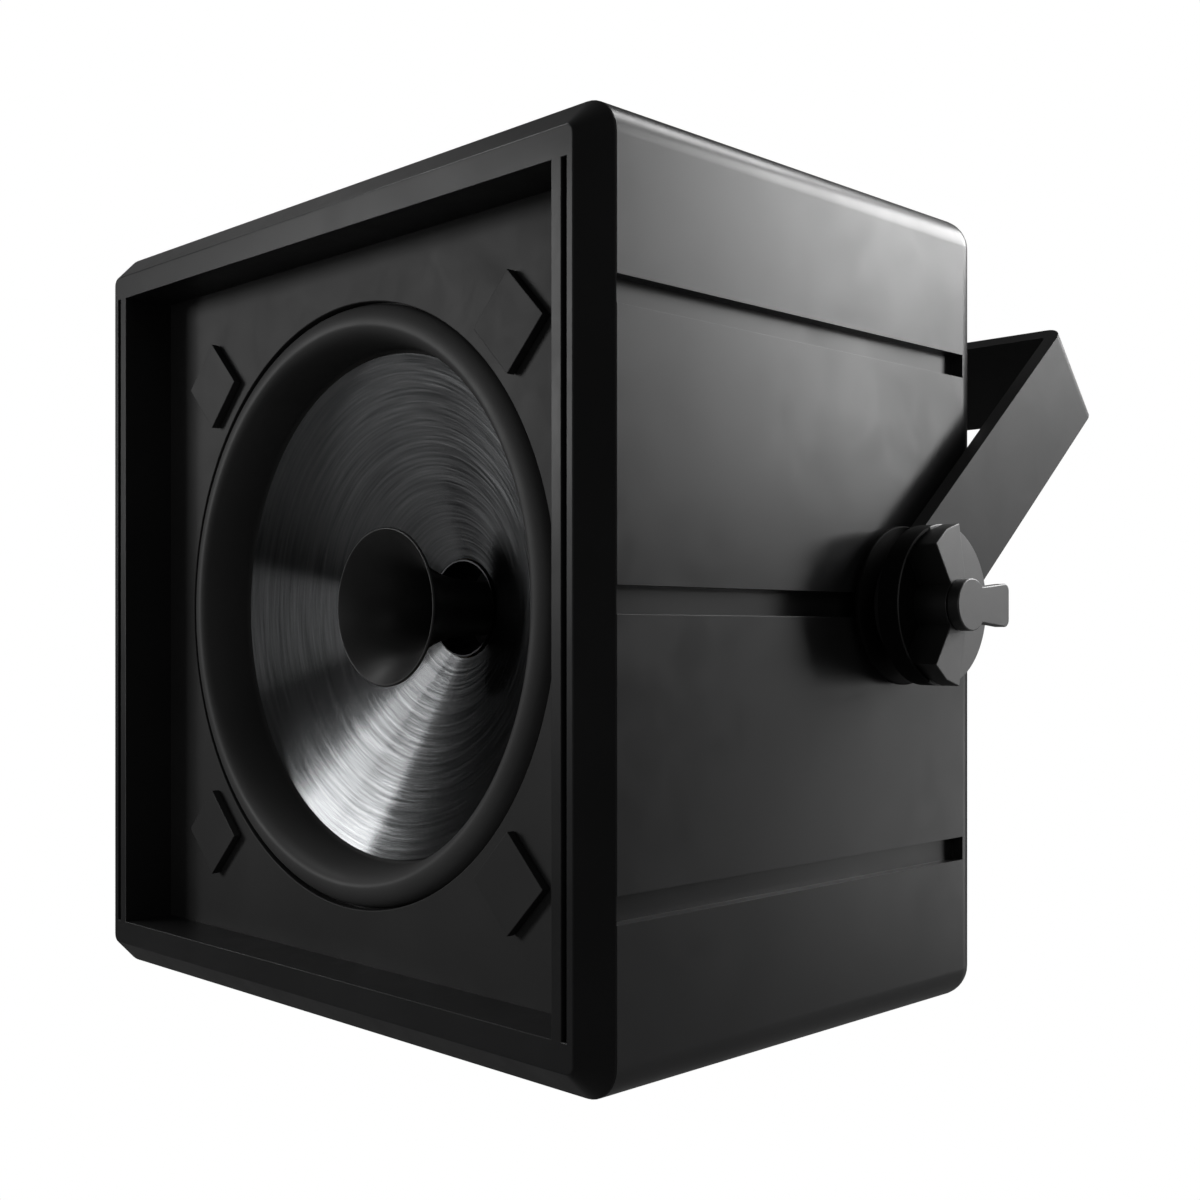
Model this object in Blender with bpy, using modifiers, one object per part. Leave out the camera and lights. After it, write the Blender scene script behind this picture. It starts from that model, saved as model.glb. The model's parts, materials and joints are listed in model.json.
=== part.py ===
"""Compact coaxial installation loudspeaker on a tilting yoke, one object for each piece.

Frame: metres, +X right, +Y to the rear, +Z up. The origin is at the middle of the
cabinet's underside, and the front plane is at y = FRONT. The driver's axis runs along Y
at height AXIS_Z, and the yoke turns about the line through the two side pivots.
"""
import math

import bmesh
import bpy
from mathutils import Matrix

# ---- driving dimensions ----
CABINET = 0.400                     # width and height of the cabinet
DEPTH = 0.280                       # front plane to rear face
WALL = 0.014                        # side, top and bottom walls
REAR_WALL = 0.012
EDGE_RADIUS = 0.016                 # long edges and rear edges
GAP = 0.0003                        # between pieces that touch
BEVEL = 0.012                       # 45 degree bevel round the front
BEZEL_DEPTH = 0.0125
OPENING_MARGIN = 0.0246             # from an outer face to the front opening
SLOT_INSET = 0.0075                 # opening's edge to the middle of a grille slot
SLOT_WIDTH = 0.0028
SLOT_DEPTH = 0.008
CHANNEL_HEIGHT = 0.0116
CHANNEL_DEPTH = 0.006
CHANNEL_END = 0.264                 # behind the front plane
CHANNEL_SPACING = 0.1228

BAFFLE_SETBACK = 0.028
BAFFLE_THICK = 0.015
BAFFLE_LIP = 0.0045                 # what the rebate leaves in front of the driver
HOLE_RADIUS = 0.149                 # 12-inch driver
REBATE_RADIUS = HOLE_RADIUS + 0.0093
PAD_REACH = 0.1224                  # driver's axis to a pad's middle, across and up
PAD_HALF_DIAGONAL = 0.023
PAD_THICK = 0.0047
CLEAT_SIZE = 0.016
CLEAT_HALF_RUN = 0.120

FLANGE_RADIUS = 0.1575
FLANGE_FRONT = 0.0356               # behind the front plane
FLANGE_THICK = 0.004
GASKET_THICK = 0.0011
GASKET_INNER = 0.1496
ROLL_CREST_RADIUS = 0.138
ROLL_OUTER = (0.0335, 0.0098, 0.0085)    # depth of the ellipse's middle, and its two radii
ROLL_INNER = (0.0505, 0.0088, 0.0255)
ROLL_THICK = 0.001
CONE_RIM = (0.1272, 0.0512)         # radius, depth behind the front plane
CONE_NECK = (0.0265, 0.1015)
CONE_THICK = 0.0008
HORN_MOUTH = (0.0392, 0.0488)
HORN_THROAT = (0.0127, 0.1247)
HORN_WALL = 0.0016
FORMER_RADIUS = 0.0256              # outside of the voice coil's former
FORMER_WALL = 0.0007
COIL_THICK = 0.0015
COIL_END = 0.138
SPIDER_OUTER = 0.074
SPIDER_LEDGE = 0.067
SPIDER_LEVEL = 0.1137
SPIDER_SWING = 0.0022
SPIDER_THICK = 0.0006
BASKET_FLOOR = 0.1257
BASKET_WINDOWS = 6
TOP_PLATE = (0.062, 0.0279, 0.126)  # outer radius, inner radius, front depth
MAGNET = (0.070, 0.033, 0.1343)
MAGNET_BACK = 0.154
POLE_RADIUS = 0.0243
POLE_FRONT = 0.125
POLE_BACK = 0.1643
HF_DRIVER_RADIUS = 0.043
HF_DRIVER_DEPTHS = (0.1646, 0.205)
HF_CAP_RADIUS = 0.038
HF_CAP_BACK = 0.214
CLAMP_REACH = (0.151, 0.182)        # from the driver's axis
CLAMP_SCREW_REACH = 0.173
CLAMP_HALF_WIDTH = 0.008
CLAMP_THICK = 0.003
CLAMP_SCREW_RADIUS = 0.002
CLAMP_HEAD = (0.0042, 0.0025)       # radius and height
LEAD_RADIUS = 0.0009
LEAD_HALF_SPACING = 0.006

PLATE_HALF = (0.070, 0.045)
PLATE_Z = 0.105
PLATE_THICK = 0.003
PLATE_LAP = 0.012
PLATE_SCREW_RADIUS = 0.0015
PLATE_SCREW_END = 0.2715            # behind the front plane
PLATE_HEAD = (0.0032, 0.0028, 0.0016, 0.0018)    # radius below and above, height of its edge and middle
SOCKET_X = 0.028
SOCKET_RADIUS = 0.0117
SOCKET_FLANGE = (0.015, 0.002)
SOCKET_BORE = (0.009, 0.0035)       # outside and inside radius of the ring-shaped bore
SOCKET_DEPTHS = (0.252, 0.262)      # inner end and bore's floor
PILOT_RADIUS = 0.0018
PILOT_SPARE = 0.002                 # past the screw's end
BOARD_HALF_WIDTH = 0.065
BOARD_RUN = (0.176, 0.246)          # behind the front plane
BOARD_LIFT = 0.006
BOARD_THICK = 0.0016
PAD_RUN = (0.165, 0.355)            # the damping pad's bottom and top
PAD_HALF_WIDTH = 0.170
PAD_DEPTH = 0.018

PIVOT_SETBACK = 0.204
INSERT_RADIUS = 0.008
INSERT_FLANGE_RADIUS = 0.013
INSERT_END = 0.182
STUD_RADIUS = 0.005
STUD_ENDS = (0.184, 0.232)
DISC_RADIUS = 0.038
DISC_ROOT_RADIUS = 0.0275           # tapered, smaller against the cabinet
DISC_RIM = 0.0014
WASHER_RADIUS = 0.016
WASHER_THICK = 0.0012
YOKE_TILT = math.radians(40.3)      # arms above the horizontal, towards the rear
YOKE_REACH = 0.2033                 # pivot to the crossbar's outer face
YOKE_HALF_SPAN = 0.2143             # to the arms' outer faces
YOKE_BEND = 0.010                   # outside radius of the two bends
YOKE_HOLES = (-0.100, 0.0, 0.100)   # across the crossbar
YOKE_HOLE_RADIUS = 0.0065           # M12 clearance
BAR_WIDTH = 0.053
BAR_THICK = 0.008
KNOB_RADIUS = 0.038
KNOB_FLANGE = 0.227                 # distances from the middle of the cabinet
KNOB_FACE = 0.236
CAP_FACE = 0.2426
BORE_END = 0.2324
HUB_RADIUS = 0.0122
LOBE_HALVES = (0.0062, 0.0100)      # half widths at root and rim
CAP_NECK_HALF = 0.0084
CAP_END_HALF = 0.0103
CAP_END = 0.0325
CAP_CORNER = 0.0035

# ---- what follows from them ----
HALF = CABINET / 2
AXIS_Z = CABINET / 2
FRONT = -DEPTH / 2
REAR = DEPTH / 2
INNER_HALF = HALF - WALL
OPENING_HALF = HALF - OPENING_MARGIN
PIVOT_Y = FRONT + PIVOT_SETBACK
BAFFLE_REAR = BAFFLE_SETBACK + BAFFLE_THICK
ARM_INNER = YOKE_HALF_SPAN - BAR_THICK
KNOB_BACK = YOKE_HALF_SPAN + WASHER_THICK + 2 * GAP
STUD_BORE = STUD_RADIUS + GAP
THROAT_RADIUS = HORN_THROAT[0]
OVERSHOOT = 0.01                    # how far a cutter passes the face it cuts

COLOURS = {                         # colour, roughness, metallic
    "shell_paint": ((0.030, 0.030, 0.031), 0.45, 0.0),
    "board_paint": ((0.022, 0.022, 0.022), 0.60, 0.0),
    "rubber": ((0.018, 0.018, 0.018), 0.55, 0.0),
    "spun_aluminium": ((0.55, 0.56, 0.57), 0.30, 1.0),
    "black_plastic": ((0.035, 0.035, 0.036), 0.42, 0.0),
    "yoke_paint": ((0.040, 0.040, 0.041), 0.45, 0.0),
    "cast_metal": ((0.10, 0.10, 0.10), 0.50, 1.0),
    "plated_steel": ((0.60, 0.60, 0.60), 0.35, 1.0),
    "ferrite": ((0.05, 0.05, 0.052), 0.70, 0.0),
    "copper": ((0.80, 0.42, 0.25), 0.35, 1.0),
    "spider_cloth": ((0.45, 0.30, 0.12), 0.90, 0.0),
    "foam": ((0.06, 0.06, 0.06), 0.95, 0.0),
    "wood": ((0.45, 0.31, 0.18), 0.80, 0.0),
    "board_laminate": ((0.05, 0.20, 0.09), 0.50, 0.0),
    "film_capacitor": ((0.70, 0.62, 0.20), 0.40, 0.0),
    "ceramic_white": ((0.75, 0.74, 0.70), 0.60, 0.0),
}


# ---- scene and helpers ----
def clear_scene():
    for obj in list(bpy.data.objects):
        bpy.data.objects.remove(obj, do_unlink=True)


def collection(name):
    made = bpy.data.collections.new(name)
    bpy.context.scene.collection.children.link(made)
    return made


def material(name):
    if name in bpy.data.materials:
        return bpy.data.materials[name]
    colour, roughness, metallic = COLOURS[name]
    made = bpy.data.materials.new(name)
    made.use_nodes = True
    shader = made.node_tree.nodes["Principled BSDF"]
    shader.inputs["Base Color"].default_value = (*colour, 1.0)
    shader.inputs["Roughness"].default_value = roughness
    shader.inputs["Metallic"].default_value = metallic
    made.diffuse_color = (*colour, 1.0)
    return made


def part(name, mesh, finish, place=None):
    """Put a mesh in the parts' collection as one named piece."""
    obj = bpy.data.objects.new(name, mesh)
    PARTS.objects.link(obj)
    mesh.name = name
    mesh.materials.clear()
    mesh.materials.append(material(finish))
    if place:
        obj.matrix_world = place
    return obj


def cutter(name, mesh, place=None):
    """Put a mesh in the cutters' collection, where it is only a guide."""
    obj = bpy.data.objects.new(name, mesh)
    CUTTERS.objects.link(obj)
    obj.hide_render = True
    obj.display_type = "WIRE"
    if place:
        obj.matrix_world = place
    return obj


def boolean(obj, other, operation="DIFFERENCE"):
    step = obj.modifiers.new(other.name, "BOOLEAN")
    step.operation = operation
    step.solver = "EXACT"
    step.object = other


def finished(name, bm):
    bmesh.ops.recalc_face_normals(bm, faces=bm.faces)
    mesh = bpy.data.meshes.new(name)
    bm.to_mesh(mesh)
    bm.free()
    return mesh


def smooth(mesh, degrees=35):
    mesh.shade_smooth()
    mesh.set_sharp_from_angle(angle=math.radians(degrees))


def block_mesh(low, high):
    """A box between two corners."""
    bm = bmesh.new()
    bmesh.ops.create_cube(bm, size=1.0)
    size = [b - a for a, b in zip(low, high)]
    middle = [(a + b) / 2 for a, b in zip(low, high)]
    bmesh.ops.transform(bm, matrix=Matrix.Translation(middle) @ Matrix.Diagonal((*size, 1.0)), verts=bm.verts)
    return finished("block", bm)


def rod_mesh(radius, low, high, sides=24):
    """A cylinder along local Z."""
    bm = bmesh.new()
    bmesh.ops.create_cone(bm, cap_ends=True, segments=sides, radius1=radius, radius2=radius, depth=high - low)
    bmesh.ops.translate(bm, vec=(0, 0, (low + high) / 2), verts=bm.verts)
    return finished("rod", bm)


def profile_mesh(points, closed):
    """A profile in local XZ, for a Screw modifier. points are (radius, height)."""
    bm = bmesh.new()
    verts = [bm.verts.new((radius, 0, height)) for radius, height in points]
    for a, b in zip(verts, verts[1:]):
        bm.edges.new((a, b))
    if closed:
        bm.edges.new((verts[-1], verts[0]))
    mesh = bpy.data.meshes.new("profile")
    bm.to_mesh(mesh)
    bm.free()
    return mesh


def turned(name, points, finish, place, steps=30, closed=True, shell=None):
    """A turned piece. shell is the thickness of an open profile's wall."""
    obj = part(name, profile_mesh(points, closed), finish, place)
    screw = obj.modifiers.new("turn", "SCREW")
    screw.angle = math.tau
    screw.steps = steps
    screw.render_steps = steps
    screw.use_smooth_shade = True
    screw.use_merge_vertices = True
    screw.merge_threshold = 0.00001
    if shell:
        wall = obj.modifiers.new("wall", "SOLIDIFY")
        wall.thickness = shell
        wall.offset = 0.0
    return obj


def arc(centre, radii, start, end, count):
    """Points on an ellipse's arc, angles in degrees."""
    points = []
    for step in range(count + 1):
        angle = math.radians(start + (end - start) * step / count)
        points.append((centre[0] + radii[0] * math.cos(angle), centre[1] + radii[1] * math.sin(angle)))
    return points


def outline_mesh(points, half_thick):
    """A flat outline extruded both ways along local Z, as one closed mesh."""
    curve = bpy.data.curves.new("outline", "CURVE")
    curve.dimensions = "2D"
    curve.fill_mode = "BOTH"
    curve.extrude = half_thick
    spline = curve.splines.new("POLY")
    spline.points.add(len(points) - 1)
    for point, (x, y) in zip(spline.points, points):
        point.co = (x, y, 0, 1)
    spline.use_cyclic_u = True
    guide = bpy.data.objects.new("outline", curve)
    bpy.context.scene.collection.objects.link(guide)
    mesh = bpy.data.meshes.new_from_object(guide.evaluated_get(bpy.context.evaluated_depsgraph_get()))
    bpy.data.objects.remove(guide, do_unlink=True)
    bm = bmesh.new()
    bm.from_mesh(mesh)
    bmesh.ops.remove_doubles(bm, verts=bm.verts, dist=0.00001)
    bpy.data.meshes.remove(mesh)
    return finished("outline", bm)


def facing_front(depth=0.0, x=0.0, z=AXIS_Z):
    """Local +Z to the front, with local height 0 at a depth behind the front plane."""
    return Matrix.Translation((x, FRONT + depth, z)) @ Matrix.Rotation(math.radians(90), 4, "X")


def facing_side(side, y=PIVOT_Y, z=AXIS_Z):
    """Local +Z outwards from the middle, local +Y to the rear."""
    return Matrix.Translation((0, y, z)) @ Matrix.Rotation(side * math.radians(90), 4, "Y")


def behind(points):
    """Profile points given as (radius, depth behind the front plane)."""
    return [(radius, -depth) for radius, depth in points]


# ---- cabinet ----
def rounded_block(low_y, high_y, round_rear):
    """The cabinet's outer block: long edges rounded, and the rear edges where asked."""
    bm = bmesh.new()
    bmesh.ops.create_cube(bm, size=1.0)
    size = (CABINET, high_y - low_y, CABINET, 1.0)
    place = Matrix.Translation((0, (low_y + high_y) / 2, AXIS_Z)) @ Matrix.Diagonal(size)
    bmesh.ops.transform(bm, matrix=place, verts=bm.verts)
    edges = []
    for edge in bm.edges:
        ends = [vert.co.y for vert in edge.verts]
        along = abs(ends[0] - ends[1]) > GAP
        at_rear = min(ends) > high_y - GAP
        if along or (round_rear and at_rear):
            edges.append(edge)
    bmesh.ops.bevel(bm, geom=edges, offset=EDGE_RADIUS, segments=4, profile=0.5, affect="EDGES")
    return bm


def cabinet_shell():
    mesh = finished("cabinet_shell", rounded_block(FRONT + BEZEL_DEPTH + GAP, REAR, True))
    shell = part("cabinet_shell", mesh, "shell_paint")
    low = (-INNER_HALF, FRONT - GAP, WALL)
    high = (INNER_HALF, REAR - REAR_WALL, CABINET - WALL)
    boolean(shell, cutter("cut_inside", block_mesh(low, high)))
    for side in (-1, 1):
        for level in (-1, 0, 1):
            middle = AXIS_Z + level * CHANNEL_SPACING
            across = sorted((side * (HALF - CHANNEL_DEPTH), side * (HALF + OVERSHOOT)))
            low = (across[0], FRONT, middle - CHANNEL_HEIGHT / 2)
            high = (across[1], FRONT + CHANNEL_END, middle + CHANNEL_HEIGHT / 2)
            boolean(shell, cutter(f"cut_channel_{side}_{level}", block_mesh(low, high)))
    bore = rod_mesh(INSERT_RADIUS + GAP, INNER_HALF - OVERSHOOT, HALF + OVERSHOOT)
    for side in (-1, 1):
        boolean(shell, cutter(f"cut_insert_{side}", bore, facing_side(side)))
    plate_x, plate_z = PLATE_HALF
    rebate = ((-plate_x - GAP, REAR - PLATE_THICK - GAP, PLATE_Z - plate_z - GAP),
              (plate_x + GAP, REAR + OVERSHOOT, PLATE_Z + plate_z + GAP))
    window = ((-plate_x + PLATE_LAP, REAR - REAR_WALL - OVERSHOOT, PLATE_Z - plate_z + PLATE_LAP),
              (plate_x - PLATE_LAP, REAR + OVERSHOOT, PLATE_Z + plate_z - PLATE_LAP))
    boolean(shell, cutter("cut_plate_rebate", block_mesh(*rebate)))
    boolean(shell, cutter("cut_plate_window", block_mesh(*window)))
    reach = DEPTH - PLATE_THICK - PLATE_SCREW_END + PILOT_SPARE
    pilot = rod_mesh(PILOT_RADIUS, -PILOT_SPARE / 2, reach, sides=12)
    for index, (x, z) in enumerate(plate_screw_places()):
        boolean(shell, cutter(f"cut_plate_pilot_{index}", pilot, facing_front(DEPTH - PLATE_THICK, x, z)))


def front_bezel():
    bm = rounded_block(FRONT + BEVEL, FRONT + BEZEL_DEPTH, False)
    front = min(bm.faces, key=lambda face: face.calc_center_median().y)
    bmesh.ops.inset_region(bm, faces=[front], thickness=BEVEL, depth=BEVEL, use_even_offset=True)
    bezel = part("front_bezel", finished("front_bezel", bm), "shell_paint")
    spigot = INNER_HALF - GAP
    low = (-spigot, FRONT + BEZEL_DEPTH / 2, AXIS_Z - spigot)
    high = (spigot, FRONT + BAFFLE_SETBACK - GAP, AXIS_Z + spigot)
    boolean(bezel, cutter("join_spigot", block_mesh(low, high)), "UNION")
    low = (-OPENING_HALF, FRONT - OVERSHOOT, OPENING_MARGIN)
    high = (OPENING_HALF, FRONT + BAFFLE_SETBACK + OVERSHOOT, CABINET - OPENING_MARGIN)
    boolean(bezel, cutter("cut_opening", block_mesh(low, high)))
    for side in (-1, 1):
        middle = side * (OPENING_HALF + SLOT_INSET)
        low = (middle - SLOT_WIDTH / 2, FRONT - OVERSHOOT, OPENING_MARGIN)
        high = (middle + SLOT_WIDTH / 2, FRONT + SLOT_DEPTH, CABINET - OPENING_MARGIN)
        boolean(bezel, cutter(f"cut_grille_slot_{side}", block_mesh(low, high)))


def baffle():
    half = INNER_HALF - GAP
    low = (-half, FRONT + BAFFLE_SETBACK, AXIS_Z - half)
    high = (half, FRONT + BAFFLE_REAR, AXIS_Z + half)
    board = part("baffle", block_mesh(low, high), "board_paint")
    beyond = -(BAFFLE_REAR + OVERSHOOT)
    hole = rod_mesh(HOLE_RADIUS, beyond, 0.0, sides=64)
    boolean(board, cutter("cut_driver_hole", hole, facing_front()))
    rebate = rod_mesh(REBATE_RADIUS, beyond, -(BAFFLE_SETBACK + BAFFLE_LIP), sides=64)
    boolean(board, cutter("cut_driver_rebate", rebate, facing_front()))
    pilot = rod_mesh(CLAMP_SCREW_RADIUS + GAP, -GAP, BAFFLE_THICK - 0.004, sides=12)
    for index, angle in enumerate(corner_angles()):
        x = CLAMP_SCREW_REACH * math.cos(angle)
        z = AXIS_Z + CLAMP_SCREW_REACH * math.sin(angle)
        boolean(board, cutter(f"cut_clamp_pilot_{index}", pilot, facing_front(BAFFLE_REAR, x, z)))


def corner_angles():
    return [math.radians(45 + 90 * quarter) for quarter in range(4)]


def corner_pads():
    """Four square pads, standing on their corners, on the baffle."""
    half = PAD_HALF_DIAGONAL / math.sqrt(2)
    names = ("top_right", "top_left", "bottom_left", "bottom_right")
    for name, angle in zip(names, corner_angles()):
        x = math.copysign(PAD_REACH, math.cos(angle))
        z = AXIS_Z + math.copysign(PAD_REACH, math.sin(angle))
        mesh = block_mesh((-half, -half, GAP), (half, half, PAD_THICK))
        turn = Matrix.Rotation(math.radians(45), 4, "Z")
        part(f"corner_pad_{name}", mesh, "board_paint", facing_front(BAFFLE_SETBACK, x, z) @ turn)


def baffle_cleats():
    """Battens behind the baffle's two side edges."""
    wall = INNER_HALF - GAP
    near = FRONT + BAFFLE_REAR + GAP
    for name, x in (("left", -wall), ("right", wall - CLEAT_SIZE)):
        low = (x, near, AXIS_Z - CLEAT_HALF_RUN)
        high = (x + CLEAT_SIZE, near + CLEAT_SIZE, AXIS_Z + CLEAT_HALF_RUN)
        part(f"baffle_cleat_{name}", block_mesh(low, high), "wood")


# ---- driver ----
def driver_gasket():
    front = BAFFLE_SETBACK + BAFFLE_LIP + GAP
    back = front + GASKET_THICK
    points = [(FLANGE_RADIUS, front), (FLANGE_RADIUS, back), (GASKET_INNER, back), (GASKET_INNER, front)]
    turned("driver_gasket", behind(points), "foam", facing_front(), steps=36)


def surround():
    """Half roll: a shallow outer slope to the crest and a deep inner wall to the cone."""
    sides = []
    for (middle, wide, high), start, count in ((ROLL_OUTER, 0, 3), (ROLL_INNER, 90, 4)):
        curve = arc((ROLL_CREST_RADIUS, -middle), (wide, high), start, start + 90, count)
        sides.append([(radius, -height) for radius, height in curve])
    lip = FLANGE_FRONT - ROLL_THICK
    foot = [(0.1277, 0.0528), (0.1215, 0.0558)]
    points = [(0.1572, lip), (0.1482, lip)] + sides[0] + sides[1][1:] + foot
    turned("surround", behind(points), "rubber", facing_front(), steps=40, closed=False, shell=ROLL_THICK)


def cone():
    """Straight-sided cone, open at both ends."""
    rows = 4
    points = []
    for row in range(rows + 1):
        share = row / rows
        points.append((CONE_RIM[0] + (CONE_NECK[0] - CONE_RIM[0]) * share,
                       CONE_RIM[1] + (CONE_NECK[1] - CONE_RIM[1]) * share))
    turned("cone", behind(points), "spun_aluminium", facing_front(), steps=48, closed=False, shell=CONE_THICK)


def ring(name, outer, inner, front, back, finish, steps=30):
    points = [(outer, front), (outer, back), (inner, back), (inner, front)]
    turned(name, behind(points), finish, facing_front(), steps=steps)


def spider():
    """Corrugated suspension between the former and the basket."""
    inner = FORMER_RADIUS + 2 * GAP
    count = 8
    level = SPIDER_LEVEL - SPIDER_SWING / 2
    points = [(SPIDER_OUTER, SPIDER_LEVEL), (SPIDER_LEDGE, SPIDER_LEVEL)]
    for step in range(1, count + 1):
        share = step / count
        wave = math.sin(share * 2 * math.tau) * SPIDER_SWING
        points.append((SPIDER_LEDGE + (inner - SPIDER_LEDGE) * share, level + wave))
    turned("spider", behind(points), "spider_cloth", facing_front(), steps=20, closed=False, shell=SPIDER_THICK)


def driver_basket():
    back = FLANGE_FRONT + FLANGE_THICK
    floor = BASKET_FLOOR - FLANGE_THICK
    outside = [(FLANGE_RADIUS, FLANGE_FRONT), (FLANGE_RADIUS, back), (HOLE_RADIUS, back), (0.1365, 0.077),
               (0.097, 0.109), (0.080, 0.1195), (0.078, BASKET_FLOOR)]
    inside = [(0.040, BASKET_FLOOR), (0.040, floor), (0.0675, floor), (0.0675, 0.1146), (0.076, 0.1146),
              (0.093, 0.105), (0.132, 0.075), (0.1445, back), (0.135, back), (0.135, FLANGE_FRONT)]
    basket = turned("driver_basket", behind(outside + inside), "cast_metal", facing_front())
    for spoke in range(BASKET_WINDOWS):
        turn = Matrix.Rotation(math.tau * spoke / BASKET_WINDOWS + math.radians(90), 4, "Z")
        window = block_mesh((0.085, -0.040, -0.102), (0.160, 0.040, -0.046))
        boolean(basket, cutter(f"cut_basket_window_{spoke}", window, facing_front() @ turn))


def motor():
    former_front = CONE_NECK[1] - 0.002
    coil_front = COIL_END - 0.016
    ring("voice_coil_former", FORMER_RADIUS, FORMER_RADIUS - FORMER_WALL, former_front, COIL_END, "spun_aluminium")
    ring("voice_coil", FORMER_RADIUS + COIL_THICK, FORMER_RADIUS + GAP, coil_front, COIL_END, "copper")
    ring("top_plate", *TOP_PLATE, MAGNET[2] - GAP, "plated_steel")
    ring("magnet", *MAGNET, MAGNET_BACK, "ferrite")
    step = MAGNET_BACK + GAP
    points = [(POLE_RADIUS, POLE_FRONT), (POLE_RADIUS, step), (TOP_PLATE[0], step), (TOP_PLATE[0], POLE_BACK),
              (THROAT_RADIUS, POLE_BACK), (THROAT_RADIUS, POLE_FRONT)]
    turned("pole_piece", behind(points), "plated_steel", facing_front())


def horn_bell():
    """Flared bell of the high-frequency horn, from the pole piece to its mouth."""
    rows = 7
    points = []
    for row in range(rows + 1):
        share = (row / rows) ** 0.7
        flare = share ** 3.5
        radius = HORN_THROAT[0] + (HORN_MOUTH[0] - HORN_THROAT[0]) * flare
        depth = HORN_THROAT[1] + (HORN_MOUTH[1] - HORN_THROAT[1]) * share
        points.append((radius + HORN_WALL / 2, depth))
    points.reverse()
    turned("horn_bell", behind(points), "black_plastic", facing_front(), steps=32, closed=False, shell=HORN_WALL)


def compression_driver():
    front, back = HF_DRIVER_DEPTHS
    throat = front + 0.018
    points = [(0, throat), (THROAT_RADIUS, throat), (THROAT_RADIUS, front), (HF_DRIVER_RADIUS, front),
              (HF_DRIVER_RADIUS, back), (0, back)]
    turned("compression_driver_body", behind(points), "cast_metal", facing_front(), closed=False)
    slope = 0.003
    points = [(0, back + GAP), (HF_CAP_RADIUS, back + GAP), (HF_CAP_RADIUS, HF_CAP_BACK - slope),
              (HF_CAP_RADIUS - slope, HF_CAP_BACK), (0, HF_CAP_BACK)]
    turned("compression_driver_cap", behind(points), "black_plastic", facing_front(), closed=False)


def driver_clamps():
    """Stepped clamps that hold the driver's flange in the baffle's rebate."""
    back = FLANGE_FRONT + FLANGE_THICK + GAP
    inner, outer = CLAMP_REACH
    half = CLAMP_HALF_WIDTH
    head_radius, head_height = CLAMP_HEAD
    tip = BAFFLE_REAR - 0.009
    head = BAFFLE_REAR + CLAMP_THICK + 2 * GAP
    for number, angle in enumerate(corner_angles(), start=1):
        place = facing_front() @ Matrix.Rotation(angle, 4, "Z")
        toe = block_mesh((inner, -half, -(BAFFLE_REAR + CLAMP_THICK)), (FLANGE_RADIUS, half, -back))
        clamp = part(f"driver_clamp_{number}", toe, "plated_steel", place)
        foot_low = (FLANGE_RADIUS - GAP, -half, -(BAFFLE_REAR + GAP + CLAMP_THICK))
        foot_high = (outer, half, -(BAFFLE_REAR + GAP))
        boolean(clamp, cutter(f"join_clamp_foot_{number}", block_mesh(foot_low, foot_high), place), "UNION")
        spot = Matrix.Translation((CLAMP_SCREW_REACH, 0, 0))
        hole = rod_mesh(CLAMP_SCREW_RADIUS + 2 * GAP, -(head + OVERSHOOT), -tip, sides=12)
        boolean(clamp, cutter(f"cut_clamp_hole_{number}", hole, place @ spot))
        points = [(0, tip), (CLAMP_SCREW_RADIUS, tip), (CLAMP_SCREW_RADIUS, head), (head_radius, head),
                  (head_radius, head + head_height), (0, head + head_height)]
        turned(f"clamp_screw_{number}", behind(points), "plated_steel", place @ spot, steps=12, closed=False)


def terminal_and_leads():
    """Terminal block under the basket, and the two flexible leads to the cone."""
    low = (-0.014, FRONT + 0.1198, AXIS_Z - 0.094)
    high = (0.014, FRONT + 0.1270, AXIS_Z - 0.0808)
    part("driver_terminals", block_mesh(low, high), "black_plastic")
    route = [(0.0915, 0.1187), (0.1005, 0.1115), (0.1080, 0.1040), (0.1065, 0.0985), (0.0960, 0.0975),
             (0.0800, 0.1005), (0.0600, 0.1030), (0.0430, 0.0985)]
    for name, x in (("left", -LEAD_HALF_SPACING), ("right", LEAD_HALF_SPACING)):
        curve = bpy.data.curves.new(f"tinsel_lead_{name}", "CURVE")
        curve.dimensions = "3D"
        curve.bevel_depth = LEAD_RADIUS
        curve.bevel_resolution = 2
        curve.use_fill_caps = True
        spline = curve.splines.new("POLY")
        points = smooth_route(route, 2)
        spline.points.add(len(points) - 1)
        for point, (radius, depth) in zip(spline.points, points):
            point.co = (x, FRONT + depth, AXIS_Z - radius, 1)
        lead = bpy.data.objects.new(f"tinsel_lead_{name}", curve)
        PARTS.objects.link(lead)
        curve.materials.append(material("copper"))


def smooth_route(points, cuts):
    """Catmull-Rom points through a route."""
    ends = [points[0]] + points + [points[-1]]
    made = []
    for a, b, c, d in zip(ends, ends[1:], ends[2:], ends[3:]):
        for cut in range(cuts):
            t = cut / cuts
            made.append(tuple(0.5 * (2 * q + (r - p) * t + (2 * p - 5 * q + 4 * r - s) * t * t
                                     + (3 * q - p - 3 * r + s) * t ** 3)
                              for p, q, r, s in zip(a, b, c, d)))
    made.append(points[-1])
    return made


# ---- rear connector plate, crossover and damping ----
def plate_screw_places():
    x = PLATE_HALF[0] - PLATE_LAP / 2
    z = PLATE_HALF[1] - PLATE_LAP / 2
    return [(sx * x, PLATE_Z + sz * z) for sx in (-1, 1) for sz in (-1, 1)]


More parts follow.
